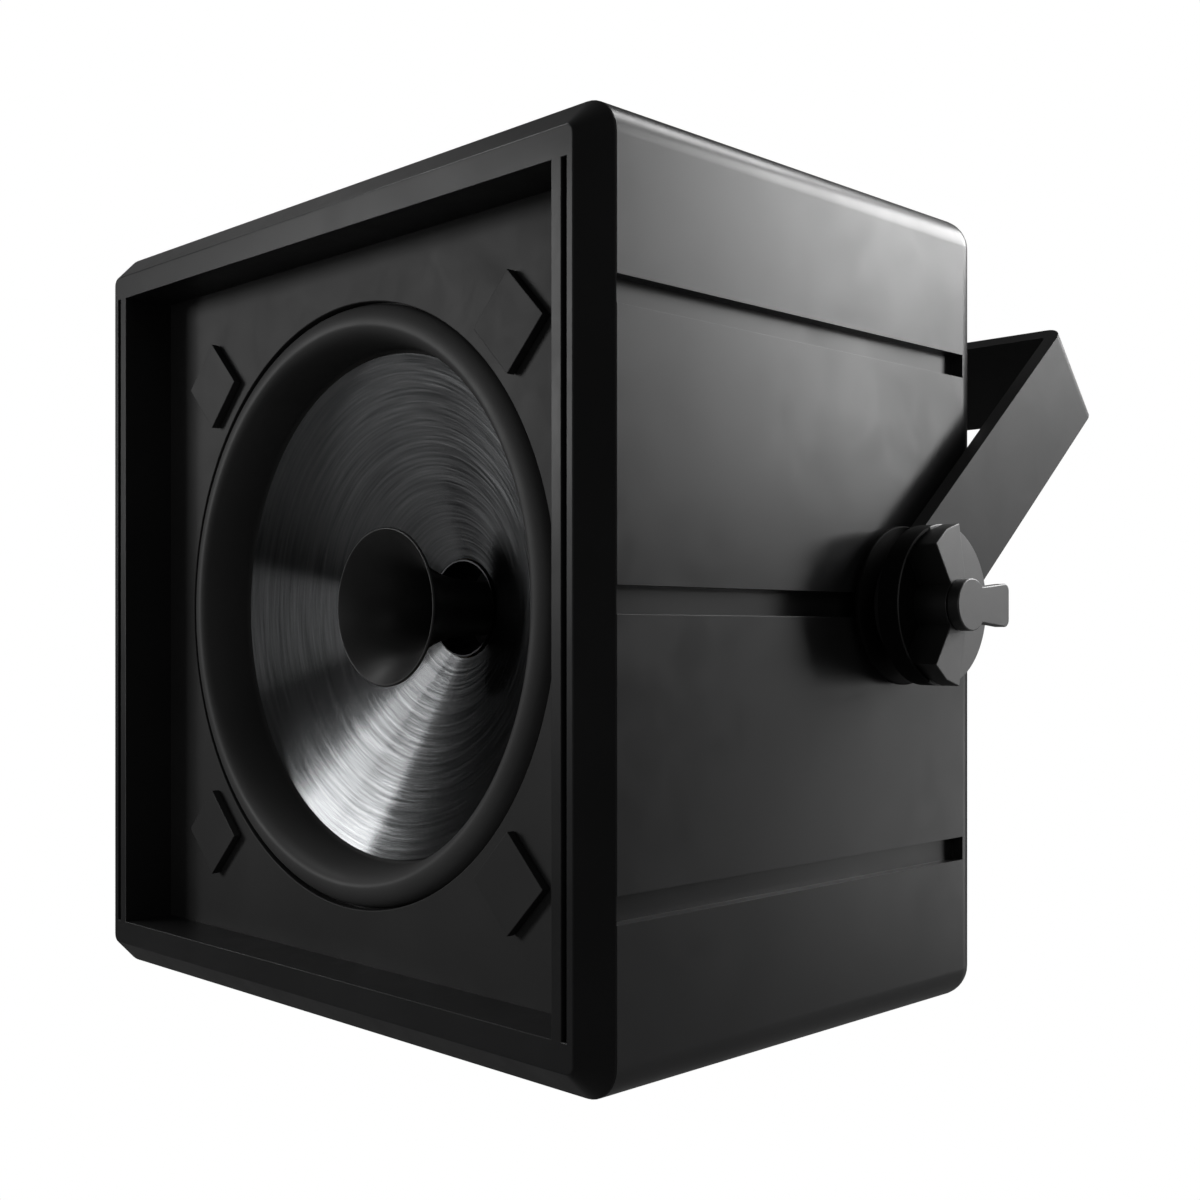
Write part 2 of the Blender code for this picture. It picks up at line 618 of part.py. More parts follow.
def connector_plate():
    low = (-PLATE_HALF[0], REAR - PLATE_THICK, PLATE_Z - PLATE_HALF[1])
    high = (PLATE_HALF[0], REAR - GAP, PLATE_Z + PLATE_HALF[1])
    plate = part("connector_plate", block_mesh(low, high), "black_plastic")
    hole = rod_mesh(SOCKET_RADIUS + GAP, -OVERSHOOT, OVERSHOOT, sides=24)
    flange, proud = SOCKET_FLANGE
    bore_outer, bore_inner = SOCKET_BORE
    end, floor = SOCKET_DEPTHS
    face = DEPTH + proud
    pin = DEPTH - 0.001
    for number, x in ((1, -SOCKET_X), (2, SOCKET_X)):
        boolean(plate, cutter(f"cut_socket_{number}", hole, facing_front(DEPTH, x, PLATE_Z)))
        points = [(0, end), (SOCKET_RADIUS, end), (SOCKET_RADIUS, DEPTH), (flange, DEPTH), (flange, face),
                  (bore_outer, face), (bore_outer, floor), (bore_inner, floor), (bore_inner, pin), (0, pin)]
        turned(f"speaker_socket_{number}", behind(points), "black_plastic",
               facing_front(0, x, PLATE_Z), steps=24, closed=False)
    hole = rod_mesh(PILOT_RADIUS, -OVERSHOOT, OVERSHOOT, sides=12)
    wide, narrow, edge, crown = PLATE_HEAD
    for number, (x, z) in enumerate(plate_screw_places(), start=1):
        boolean(plate, cutter(f"cut_plate_screw_{number}", hole, facing_front(DEPTH, x, z)))
        points = [(0, PLATE_SCREW_END), (PLATE_SCREW_RADIUS, PLATE_SCREW_END), (PLATE_SCREW_RADIUS, DEPTH),
                  (wide, DEPTH), (narrow, DEPTH + edge), (0, DEPTH + crown)]
        turned(f"plate_screw_{number}", behind(points), "plated_steel",
               facing_front(0, x, z), steps=12, closed=False)


def crossover():
    """Circuit board on the cabinet's floor, with its components."""
    near, far = (FRONT + depth for depth in BOARD_RUN)
    middle = (near + far) / 2
    board_low = WALL + BOARD_LIFT
    board_top = board_low + BOARD_THICK
    low = (-BOARD_HALF_WIDTH, near, board_low)
    part("crossover_board", block_mesh(low, (BOARD_HALF_WIDTH, far, board_top)), "board_laminate")
    rail_x = BOARD_HALF_WIDTH - 0.007
    rail_half = 0.004
    for name, x in (("left", -rail_x), ("right", rail_x)):
        low = (x - rail_half, near + rail_half, WALL + GAP)
        high = (x + rail_half, far - rail_half, board_low - GAP)
        part(f"board_rail_{name}", block_mesh(low, high), "black_plastic")
    base = board_top + GAP
    coil_outer, coil_inner, coil_height = 0.019, 0.009, 0.013
    points = [(coil_outer, base + coil_height), (coil_outer, base), (coil_inner, base),
              (coil_inner, base + coil_height)]
    turned("crossover_inductor", points, "copper", Matrix.Translation((-0.036, middle, 0)))
    can_radius, can_half = 0.012, 0.021
    upright = Matrix.Rotation(math.radians(90), 4, "Y")
    place = Matrix.Translation((0.030, middle - 0.003, base + can_radius + 0.0005)) @ upright
    part("crossover_capacitor", rod_mesh(can_radius, -can_half, can_half), "film_capacitor", place)
    resistor = (0.034, 0.009, 0.009)
    low = (0.012, far - 0.014, base)
    high = tuple(a + b for a, b in zip(low, resistor))
    part("crossover_resistor", block_mesh(low, high), "ceramic_white")


def damping_pad():
    rear = REAR - REAR_WALL - GAP
    low = (-PAD_HALF_WIDTH, rear - PAD_DEPTH, PAD_RUN[0])
    part("damping_pad", block_mesh(low, (PAD_HALF_WIDTH, rear, PAD_RUN[1])), "foam")


# ---- pivots and yoke ----
def pivot_hardware(name, side):
    place = facing_side(side)
    inside = INNER_HALF - GAP
    outside = HALF - CHANNEL_DEPTH - GAP
    points = [(INSERT_RADIUS, outside), (INSERT_RADIUS, inside), (INSERT_FLANGE_RADIUS, inside),
              (INSERT_FLANGE_RADIUS, INSERT_END), (STUD_BORE, INSERT_END), (STUD_BORE, outside)]
    turned(f"threaded_insert_{name}", points, "plated_steel", place, steps=24)
    edge = 0.001
    face = ARM_INNER - GAP
    points = [(DISC_RADIUS - edge, face), (DISC_RADIUS, face - edge), (DISC_RADIUS, face - edge - DISC_RIM),
              (DISC_ROOT_RADIUS, HALF + GAP), (STUD_BORE, HALF + GAP), (STUD_BORE, face)]
    turned(f"friction_disc_{name}", points, "rubber", place, steps=48)
    near = YOKE_HALF_SPAN + GAP
    far = KNOB_BACK - GAP
    points = [(WASHER_RADIUS, far), (WASHER_RADIUS, near), (STUD_BORE, near), (STUD_BORE, far)]
    turned(f"washer_{name}", points, "plated_steel", place, steps=24)
    part(f"pivot_stud_{name}", rod_mesh(STUD_RADIUS, *STUD_ENDS), "plated_steel", place)


def lobe_outline():
    """One lobe of the knob, pointing along local +Y, wider at its rim."""
    root_half, rim_half = LOBE_HALVES
    spread = math.degrees(math.asin(rim_half / KNOB_RADIUS))
    rim = arc((0, 0), (KNOB_RADIUS, KNOB_RADIUS), 90 - spread, 90 + spread, 6)
    return [(-root_half, 0.004), (root_half, 0.004)] + rim


def knob(name, side):
    """Round flange with a hub and three lobes, and a blind bore for the stud."""
    place = facing_side(side)
    edge = 0.001
    points = [(0, KNOB_FLANGE), (KNOB_RADIUS - edge, KNOB_FLANGE), (KNOB_RADIUS, KNOB_FLANGE - edge),
              (KNOB_RADIUS, KNOB_BACK), (0, KNOB_BACK)]
    body = turned(f"knob_{name}", points, "black_plastic", place, steps=48, closed=False)
    middle = (KNOB_FLANGE - 0.003 + KNOB_FACE) / 2
    lobe = outline_mesh(lobe_outline(), KNOB_FACE - middle)
    for number, angle in enumerate((0, 120, 240)):
        turn = Matrix.Rotation(math.radians(angle), 4, "Z") @ Matrix.Translation((0, 0, middle))
        boolean(body, cutter(f"join_lobe_{name}_{number}", lobe, place @ turn), "UNION")
    hub = rod_mesh(HUB_RADIUS, KNOB_FLANGE - 0.002, KNOB_FACE - 0.0001, sides=36)
    boolean(body, cutter(f"join_hub_{name}", hub, place), "UNION")
    bore = rod_mesh(STUD_BORE, KNOB_BACK - OVERSHOOT, BORE_END)
    boolean(body, cutter(f"cut_bore_{name}", bore, place))


def cap_outline():
    """Keyhole shape: a round hub with a slightly flared tab along local +Y."""
    corner = (CAP_CORNER, CAP_CORNER)
    across = CAP_END_HALF - CAP_CORNER
    along = CAP_END - CAP_CORNER
    half_angle = math.degrees(math.asin(CAP_NECK_HALF / HUB_RADIUS))
    hub = arc((0, 0), (HUB_RADIUS, HUB_RADIUS), 90 + half_angle, 450 - half_angle, 24)
    return hub + arc((across, along), corner, 0, 90, 4) + arc((-across, along), corner, 90, 180, 4)


def knob_cap(name, side):
    low = KNOB_FACE + GAP
    place = facing_side(side) @ Matrix.Translation((0, 0, (low + CAP_FACE) / 2))
    part(f"knob_cap_{name}", outline_mesh(cap_outline(), (CAP_FACE - low) / 2), "black_plastic", place)


def yoke_outline():
    """The bent bar seen along its width: local X across, local Y towards the crossbar."""
    inner_bend = YOKE_BEND - BAR_THICK
    tail = -BAR_WIDTH
    centre = (YOKE_HALF_SPAN - YOKE_BEND, YOKE_REACH - YOKE_BEND)
    outer = arc(centre, (YOKE_BEND, YOKE_BEND), 0, 90, 5)
    inner = arc(centre, (inner_bend, inner_bend), 90, 0, 4)
    right_outer = [(ARM_INNER, tail), (YOKE_HALF_SPAN, tail)] + outer
    left_outer = [(-x, y) for x, y in reversed(outer)] + [(-YOKE_HALF_SPAN, tail), (-ARM_INNER, tail)]
    left_inner = [(-x, y) for x, y in reversed(inner)]
    return right_outer + left_outer + left_inner + inner


def yoke_bracket():
    place = Matrix.Translation((0, PIVOT_Y, AXIS_Z)) @ Matrix.Rotation(YOKE_TILT, 4, "X")
    yoke = part("yoke_bracket", outline_mesh(yoke_outline(), BAR_WIDTH), "yoke_paint", place)
    half = BAR_WIDTH / 2
    far = YOKE_REACH + OVERSHOOT
    side_view = arc((0, 0), (half, half), 90, 270, 12) + [(far, -half), (far, half)]
    across = outline_mesh(side_view, YOKE_HALF_SPAN + OVERSHOOT)
    turn = Matrix(((0, 0, 1, 0), (1, 0, 0, 0), (0, 1, 0, 0), (0, 0, 0, 1)))
    boolean(yoke, cutter("trim_bar", across, place @ turn), "INTERSECT")
    bore = rod_mesh(STUD_BORE, -YOKE_HALF_SPAN - OVERSHOOT, YOKE_HALF_SPAN + OVERSHOOT)
    boolean(yoke, cutter("cut_pivot", bore, place @ Matrix.Rotation(math.radians(90), 4, "Y")))
    hole = rod_mesh(YOKE_HOLE_RADIUS, -YOKE_REACH - OVERSHOOT, -YOKE_REACH + BAR_THICK + OVERSHOOT)
    for index, x in enumerate(YOKE_HOLES):
        spot = Matrix.Translation((x, 0, 0)) @ Matrix.Rotation(math.radians(90), 4, "X")
        boolean(yoke, cutter(f"cut_yoke_hole_{index}", hole, place @ spot))


# ---- assembly ----
def build():
    cabinet_shell()
    front_bezel()
    baffle()
    corner_pads()
    baffle_cleats()
    driver_gasket()
    surround()
    cone()
    spider()
    driver_basket()
    motor()
    horn_bell()
    compression_driver()
    driver_clamps()
    terminal_and_leads()
    connector_plate()
    crossover()
    damping_pad()
    yoke_bracket()
    for name, side in (("left", -1), ("right", 1)):
        pivot_hardware(name, side)
        knob(name, side)
        knob_cap(name, side)
    for obj in PARTS.objects:
        if obj.type == "MESH" and not any(step.type == "SCREW" for step in obj.modifiers):
            smooth(obj.data)


clear_scene()
PARTS = collection("yoke_loudspeaker")
CUTTERS = collection("cutters")
build()
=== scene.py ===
"""Looks for the compact coaxial loudspeaker on its tilting yoke."""

import json
import math

import bmesh
import bpy
from mathutils import Matrix, Vector


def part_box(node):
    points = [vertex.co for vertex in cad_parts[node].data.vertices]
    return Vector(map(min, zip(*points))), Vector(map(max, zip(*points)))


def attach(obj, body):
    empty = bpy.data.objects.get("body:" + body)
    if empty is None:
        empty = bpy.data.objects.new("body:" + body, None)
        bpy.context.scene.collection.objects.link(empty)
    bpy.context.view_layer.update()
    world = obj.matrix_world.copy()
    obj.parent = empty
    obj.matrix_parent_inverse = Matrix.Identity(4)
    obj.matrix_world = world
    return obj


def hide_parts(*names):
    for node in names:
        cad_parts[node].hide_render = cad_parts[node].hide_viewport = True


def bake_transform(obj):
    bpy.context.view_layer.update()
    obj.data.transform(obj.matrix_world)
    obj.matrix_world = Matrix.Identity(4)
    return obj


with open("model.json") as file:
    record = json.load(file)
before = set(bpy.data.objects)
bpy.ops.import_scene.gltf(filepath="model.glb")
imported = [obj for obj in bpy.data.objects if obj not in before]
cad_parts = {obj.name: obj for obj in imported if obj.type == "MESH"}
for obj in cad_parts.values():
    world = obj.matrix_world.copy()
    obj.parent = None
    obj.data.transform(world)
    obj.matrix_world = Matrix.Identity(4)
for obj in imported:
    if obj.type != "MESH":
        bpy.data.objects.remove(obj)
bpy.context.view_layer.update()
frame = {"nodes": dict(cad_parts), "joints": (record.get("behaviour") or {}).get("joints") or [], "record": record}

# ---- dimensions shared with the CAD, in metres unless they are angles in degrees ----
CABINET_LOW, CABINET_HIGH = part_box("cabinet_shell")
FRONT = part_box("front_bezel")[0].y
REAR = CABINET_HIGH.y
HALF = CABINET_HIGH.x
AXIS_Z = (CABINET_LOW.z + CABINET_HIGH.z) / 2
CABINET = 2 * HALF
WALL = 0.014
REAR_WALL = 0.012
EDGE_RADIUS = 0.016
BEVEL = 0.012
BEZEL_DEPTH = 0.0125
OPENING_MARGIN = 0.0246
BAFFLE_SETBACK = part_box("baffle")[0].y - FRONT
BAFFLE_THICK = 0.015
HOLE_RADIUS = 0.149
REBATE_RADIUS = 0.1583
REBATE_LIP = 0.0045
SLOT_INSET = 0.0075
SLOT_WIDTH = 0.0028
SLOT_DEPTH = 0.008
CHANNEL_HEIGHT = 0.0116
CHANNEL_DEPTH = 0.006
CHANNEL_END = 0.264
CHANNEL_SPACING = 0.1228
ROLL_CREST = 0.138
OUTER_ROLL_DEPTH = 0.0335
INNER_ROLL_DEPTH = 0.0505
CONE_RIM = (0.1272, 0.0512)
CONE_NECK = (0.0265, 0.1015)
HORN_MOUTH = (0.0392, 0.0488)
HORN_THROAT = (0.0127, 0.1247)
PIVOT = Vector(frame["joints"][0]["pos_m"])
YOKE_TILT = math.radians(40.3)  # at rest, above the level
YOKE_REACH = 0.2033
YOKE_HALF_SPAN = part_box("yoke_bracket")[1].x
BAR_WIDTH = 0.053
BAR_THICK = 0.008
ARM_INNER = YOKE_HALF_SPAN - BAR_THICK
YOKE_HOLES = (-0.100, 0.0, 0.100)
YOKE_HOLE_RADIUS = 0.0065
STUD_BORE = 0.0053
INSERT_BORE = 0.0083
DISC_RADIUS = 0.038
DISC_ROOT_RADIUS = 0.0275
DISC_RIM = 0.0024
KNOB_RADIUS = 0.038
KNOB_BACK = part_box("knob_right")[0].x
KNOB_FLANGE = 0.227
KNOB_FACE = 0.236
POCKET_START = 108
HUB_RADIUS = 0.0122
CAP_FACE = 0.2426
PLATE_LOW, PLATE_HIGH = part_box("connector_plate")
PLATE_Z = (PLATE_LOW.z + PLATE_HIGH.z) / 2
PLATE_LAP = 0.012
SOCKET_X = 0.028
SOCKET_RADIUS = 0.0117
INNER_HALF = HALF - WALL
OPENING_HALF = HALF - OPENING_MARGIN
TINY = 0.0003  # clearance between two pieces
HAIR = 0.0001  # keeps two faces out of one plane
OVERRUN = 0.01  # how far a cutter passes the surface that it cuts
LIGHT_DISTANCE = 2.2


# ---- mesh tools ----
def mesh_from(bm):
    bmesh.ops.recalc_face_normals(bm, faces=bm.faces)
    mesh = bpy.data.meshes.new("piece")
    bm.to_mesh(mesh)
    bm.free()
    return mesh


def add(name, mesh, place=None):
    obj = bpy.data.objects.new(name, mesh)
    bpy.context.scene.collection.objects.link(obj)
    if place is not None:
        obj.matrix_world = place
    return obj


def block(low, high):
    bm = bmesh.new()
    bmesh.ops.create_cube(bm, size=1.0)
    size = [b - a for a, b in zip(low, high)]
    middle = [(a + b) / 2 for a, b in zip(low, high)]
    place = Matrix.Translation(middle) @ Matrix.Diagonal((*size, 1.0))
    bmesh.ops.transform(bm, matrix=place, verts=bm.verts)
    return mesh_from(bm)


def rod(radius, low, high, sides=64):
    bm = bmesh.new()
    bmesh.ops.create_cone(bm, cap_ends=True, segments=sides, radius1=radius, radius2=radius,
                          depth=high - low)
    bmesh.ops.translate(bm, vec=(0, 0, (low + high) / 2), verts=bm.verts)
    return mesh_from(bm)


def arc(centre, radii, start, end, count):
    """Points on an ellipse's arc, angles in degrees."""
    points = []
    for step in range(count + 1):
        angle = math.radians(start + (end - start) * step / count)
        points.append((centre[0] + radii[0] * math.cos(angle),
                       centre[1] + radii[1] * math.sin(angle)))
    return points


def filleted(points, radius, count=4, closed=True):
    """A polyline with each corner rounded, as far as its neighbours leave room."""
    made = []
    last = len(points) - 1
    for index, point in enumerate(points):
        if not closed and index in (0, last):
            made.append(point)
            continue
        here = Vector(point)
        before = Vector(points[index - 1]) - here
        after = Vector(points[(index + 1) % len(points)]) - here
        room = min(before.length, after.length) * 0.45
        opening = before.angle(after)
        if opening > math.radians(165) or here.x < 1e-9:
            made.append(point)
            continue
        reach = min(radius / math.tan(opening / 2), room)
        start = here + before.normalized() * reach
        end = here + after.normalized() * reach
        for step in range(count + 1):
            t = step / count
            spot = start * (1 - t) ** 2 + here * 2 * t * (1 - t) + end * t * t
            made.append((spot.x, spot.y))
    return made


def thickened(points, thickness):
    """A closed loop round an open profile, half the thickness on each side."""
    sides = ([], [])
    for index, point in enumerate(points):
        before = Vector(points[max(index - 1, 0)])
        after = Vector(points[min(index + 1, len(points) - 1)])
        along = (after - before).normalized()
        across = Vector((-along.y, along.x)) * thickness / 2
        sides[0].append(tuple(Vector(point) + across))
        sides[1].append(tuple(Vector(point) - across))
    return sides[0] + sides[1][::-1]


def lathe(points, steps, closed=True):
    """A solid of revolution about local Z. points are (radius, height)."""
    bm = bmesh.new()
    rings = []
    for radius, height in points:
        if radius < 1e-9:
            rings.append([bm.verts.new((0, 0, height))])
            continue
        turn = [math.tau * step / steps for step in range(steps)]
        rings.append([bm.verts.new((radius * math.cos(a), radius * math.sin(a), height))
                      for a in turn])
    pairs = list(zip(rings, rings[1:]))
    if closed:
        pairs.append((rings[-1], rings[0]))
    for low, high in pairs:
        for step in range(steps):
            following = (step + 1) % steps
            corners = []
            for ring, index in ((low, step), (low, following), (high, following), (high, step)):
                vert = ring[index % len(ring)]
                if vert not in corners:
                    corners.append(vert)
            if len(corners) > 2:
                bm.faces.new(corners)
    return mesh_from(bm)


def plate(points, half_thick):
    """A flat outline extruded both ways along local Z."""
    bm = bmesh.new()
    verts = [bm.verts.new((x, y, -half_thick)) for x, y in points]
    face = bm.faces.new(verts)
    made = bmesh.ops.extrude_face_region(bm, geom=[face])
    moved = [item for item in made["geom"] if isinstance(item, bmesh.types.BMVert)]
    bmesh.ops.translate(bm, vec=(0, 0, 2 * half_thick), verts=moved)
    return mesh_from(bm)


def cut(obj, mesh, place=None, operation="DIFFERENCE"):
    """Apply one exact boolean to an object's mesh, and drop the cutter."""
    other = add("cutter", mesh, place)
    step = obj.modifiers.new("cut", "BOOLEAN")
    step.operation = operation
    step.solver = "EXACT"
    step.object = other
    settle(obj)
    bpy.data.objects.remove(other, do_unlink=True)


def settle(obj):
    """Turn an object's modifiers into its mesh."""
    bpy.context.view_layer.update()
    graph = bpy.context.evaluated_depsgraph_get()
    mesh = bpy.data.meshes.new_from_object(obj.evaluated_get(graph))
    obj.modifiers.clear()
    obj.data = mesh


def soften(obj, width, segments=2, degrees=30, skip=None):
    """Round the sharp edges. skip takes an edge's middle and says whether to leave it."""
    bm = bmesh.new()
    bm.from_mesh(obj.data)
    bmesh.ops.remove_doubles(bm, verts=bm.verts, dist=1e-6)
    bmesh.ops.dissolve_degenerate(bm, dist=1e-6, edges=bm.edges)
    edges = []
    for edge in bm.edges:
        if len(edge.link_faces) != 2 or edge.calc_face_angle(0) < math.radians(degrees):
            continue
        middle = (edge.verts[0].co + edge.verts[1].co) / 2
        if skip and skip(middle):
            continue
        edges.append(edge)
    bmesh.ops.bevel(bm, geom=edges, offset=width, segments=segments, profile=0.5, affect="EDGES",
                    clamp_overlap=True)
    bm.to_mesh(obj.data)
    bm.free()


def smooth(obj, degrees=38):
    obj.data.shade_smooth()
    obj.data.set_sharp_from_angle(angle=math.radians(degrees))
    weigh = obj.modifiers.new("normals", "WEIGHTED_NORMAL")
    weigh.keep_sharp = True
    weigh.weight = 80


def facing_front(depth=0.0, x=0.0, z=AXIS_Z):
    """Local +Z to the front, with local height 0 at a depth behind the front plane."""
    return Matrix.Translation((x, FRONT + depth, z)) @ Matrix.Rotation(math.radians(90), 4, "X")


def facing_side(side):
    """Local +Z outwards from the middle, local +Y to the rear, on the pivots' line."""
    outwards = Matrix.Rotation(side * math.radians(90), 4, "Y")
    return Matrix.Translation((0, PIVOT.y, PIVOT.z)) @ outwards


def behind(points):
    """Profile points given as (radius, depth behind the front plane)."""
    return [(radius, -depth) for radius, depth in points]


# ---- materials ----
class Finish:
    """One node material, with short calls for its texture nodes."""

    def __init__(self, name, colour, roughness, metallic=0.0, specular=0.5):
        self.made = bpy.data.materials.new(name)
        self.made.use_nodes = True
        self.tree = self.made.node_tree
        self.shader = self.tree.nodes["Principled BSDF"]
        self.shader.inputs["Base Color"].default_value = (*colour, 1.0)
        self.shader.inputs["Roughness"].default_value = roughness
        self.shader.inputs["Metallic"].default_value = metallic
        self.shader.inputs["Specular IOR Level"].default_value = specular
        self.place = self.tree.nodes.new("ShaderNodeTexCoord").outputs["Object"]

    def node(self, kind, **inputs):
        made = self.tree.nodes.new(kind)
        for name, value in inputs.items():
            socket = made.inputs[name.replace("_", " ")]
            if isinstance(value, bpy.types.NodeSocket):
                self.tree.links.new(value, socket)
            else:
                socket.default_value = value
        return made

    def maths(self, operation, first, second=0.0):
        made = self.tree.nodes.new("ShaderNodeMath")
        made.operation = operation
        for socket, value in zip(made.inputs, (first, second)):
            if isinstance(value, bpy.types.NodeSocket):
                self.tree.links.new(value, socket)
            else:
                socket.default_value = value
        return made.outputs[0]

    def stretched(self, scale, turn=(0, 0, 0)):
        """The object's own coordinates, scaled on each axis."""
        made = self.node("ShaderNodeMapping", Vector=self.place, Scale=scale, Rotation=turn)
        return made.outputs[0]

    def noise(self, scale, detail=3.0, vector=None, rough=0.5, distortion=0.0):
        made = self.node("ShaderNodeTexNoise", Vector=vector or self.place, Scale=scale,
                         Detail=detail, Roughness=rough, Distortion=distortion)
        return made.outputs["Fac"]

    def cells(self, scale, vector=None, feature="F1"):
        made = self.node("ShaderNodeTexVoronoi", Vector=vector or self.place, Scale=scale)
        made.feature = feature
        return made.outputs["Distance"]

    def between(self, value, low, high, source=(0.3, 0.7)):
        """A 0 to 1 texture mapped to a range."""
        made = self.node("ShaderNodeMapRange", Value=value, From_Min=source[0], From_Max=source[1],
                         To_Min=low, To_Max=high)
        return made.outputs[0]

    def colours(self, value, first, second, source=(0.3, 0.7)):
        """A texture that mixes two colours."""
        made = self.tree.nodes.new("ShaderNodeValToRGB")
        made.color_ramp.elements[0].position = source[0]
        made.color_ramp.elements[1].position = source[1]
        made.color_ramp.elements[0].color = (*first, 1.0)
        made.color_ramp.elements[1].color = (*second, 1.0)
        self.tree.links.new(value, made.inputs["Fac"])
        return made.outputs["Color"]

    def paint(self, colour):
        self.tree.links.new(colour, self.shader.inputs["Base Color"])

    def rough(self, value):
        self.tree.links.new(value, self.shader.inputs["Roughness"])

    def bump(self, height, distance, strength=1.0, under=None):
        made = self.node("ShaderNodeBump", Height=height, Distance=distance, Strength=strength)
        if under is not None:
            self.tree.links.new(under, made.inputs["Normal"])
        self.tree.links.new(made.outputs[0], self.shader.inputs["Normal"])
        return made.outputs[0]


def moulded(name, colour, roughness, grain, depth, specular=0.5, spread=0.18, ior=1.5):
    """Black paint or plastic: fine grain, faint handling marks and a slow change of tone."""
    finish = Finish(name, colour, roughness, specular=specular)
    finish.shader.inputs["IOR"].default_value = ior
    tone = finish.noise(9.0, 3.0)
    lighter = tuple(value * (1 + spread) for value in colour)
    darker = tuple(value * (1 - spread) for value in colour)
    finish.paint(finish.colours(tone, darker, lighter))
    marks = finish.noise(38.0, 5.0, distortion=0.6)
    wear = 0.035
    finish.rough(finish.between(marks, roughness - wear, roughness + wear))
    fine = finish.noise(grain, 2.0)
    finish.bump(fine, depth)
    return finish.made


def metal(name, colour, roughness, brush=(60.0, 60.0, 60.0), depth=0.00001):
    finish = Finish(name, colour, roughness, 1.0)
    streaks = finish.noise(1.0, 5.0, finish.stretched(brush))
    finish.rough(finish.between(streaks, roughness - 0.08, roughness + 0.10))
    darker = tuple(value * 0.82 for value in colour)
    finish.paint(finish.colours(finish.noise(45.0, 3.0), darker, colour))
    finish.bump(streaks, depth)
    return finish.made


def cone_metal():
    """Spun aluminium: circular lathe marks in arcs, bright bands that turn with the light."""
    finish = Finish("cone_metal", (0.21, 0.215, 0.22), 0.19, 1.0)
    finish.shader.inputs["Anisotropic"].default_value = 1.0
    finish.shader.inputs["Anisotropic Rotation"].default_value = 0.25
    tangent = finish.tree.nodes.new("ShaderNodeTangent")
    tangent.direction_type = "RADIAL"
    tangent.axis = "Z"
    finish.tree.links.new(tangent.outputs[0], finish.shader.inputs["Tangent"])
    parts = finish.node("ShaderNodeSeparateXYZ", Vector=finish.place)
    x, y = parts.outputs["X"], parts.outputs["Y"]
    squares = finish.maths("MULTIPLY", x, x), finish.maths("MULTIPLY", y, y)
    radius = finish.maths("SQRT", finish.maths("ADD", *squares))
    marks = finish.node("ShaderNodeCombineXYZ", X=finish.maths("MULTIPLY", x, 22.0),
                        Y=finish.maths("MULTIPLY", y, 22.0),
                        Z=finish.maths("MULTIPLY", radius, 900.0))
    arcs = finish.noise(1.0, 4.0, marks.outputs[0], rough=0.62)
    finish.rough(finish.between(arcs, 0.15, 0.23))
    finish.paint(finish.colours(arcs, (0.16, 0.165, 0.17), (0.26, 0.265, 0.27)))
    finish.bump(arcs, 0.00002, 0.6)
    return finish.made


def wood():
    finish = Finish("wood", (0.45, 0.31, 0.18), 0.7)
    grain = finish.noise(1.0, 6.0, finish.stretched((260, 260, 14)), distortion=0.4)
    finish.paint(finish.colours(grain, (0.30, 0.19, 0.10), (0.52, 0.37, 0.22)))
    finish.rough(finish.between(grain, 0.62, 0.82))
    finish.bump(grain, 0.0002)
    return finish.made


def fibre(name, dark, light, scale, depth):
    finish = Finish(name, light, 0.95, specular=0.2)
    wool = finish.noise(scale, 8.0, rough=0.7, distortion=1.5)
    finish.paint(finish.colours(wool, dark, light))
    finish.bump(wool, depth)
    return finish.made


def windings():
    """Enamelled wire in close turns."""
    finish = Finish("copper", (0.80, 0.42, 0.25), 0.32, 1.0)
    turns = finish.noise(1.0, 1.0, finish.stretched((20, 900, 900)))
    finish.paint(finish.colours(turns, (0.52, 0.22, 0.11), (0.86, 0.46, 0.27)))
    finish.rough(finish.between(turns, 0.25, 0.42))
    finish.bump(turns, 0.00015)
    return finish.made


def spider_cloth():
    finish = Finish("spider_cloth", (0.45, 0.30, 0.12), 0.88, specular=0.25)
    weave = finish.cells(1400.0)
    finish.paint(finish.colours(weave, (0.26, 0.16, 0.06), (0.52, 0.36, 0.16), (0.1, 0.8)))
    finish.rough(finish.between(weave, 0.80, 0.94, (0.1, 0.8)))
    finish.bump(weave, 0.0002)
    return finish.made


def laminate():
    finish = Finish("board_laminate", (0.05, 0.20, 0.09), 0.45)
    weave = finish.noise(1.0, 3.0, finish.stretched((700, 700, 60)))
    finish.paint(finish.colours(weave, (0.030, 0.130, 0.060), (0.06, 0.22, 0.10)))
    finish.rough(finish.between(weave, 0.38, 0.55))
    finish.bump(weave, 0.00004)
    return finish.made


def speckled(name, dark, light, roughness, scale, depth):
    finish = Finish(name, light, roughness)
    spots = finish.noise(scale, 5.0, rough=0.65)
    finish.paint(finish.colours(spots, dark, light))
    finish.rough(finish.between(spots, roughness - 0.08, roughness + 0.08))
    finish.bump(spots, depth)
    return finish.made


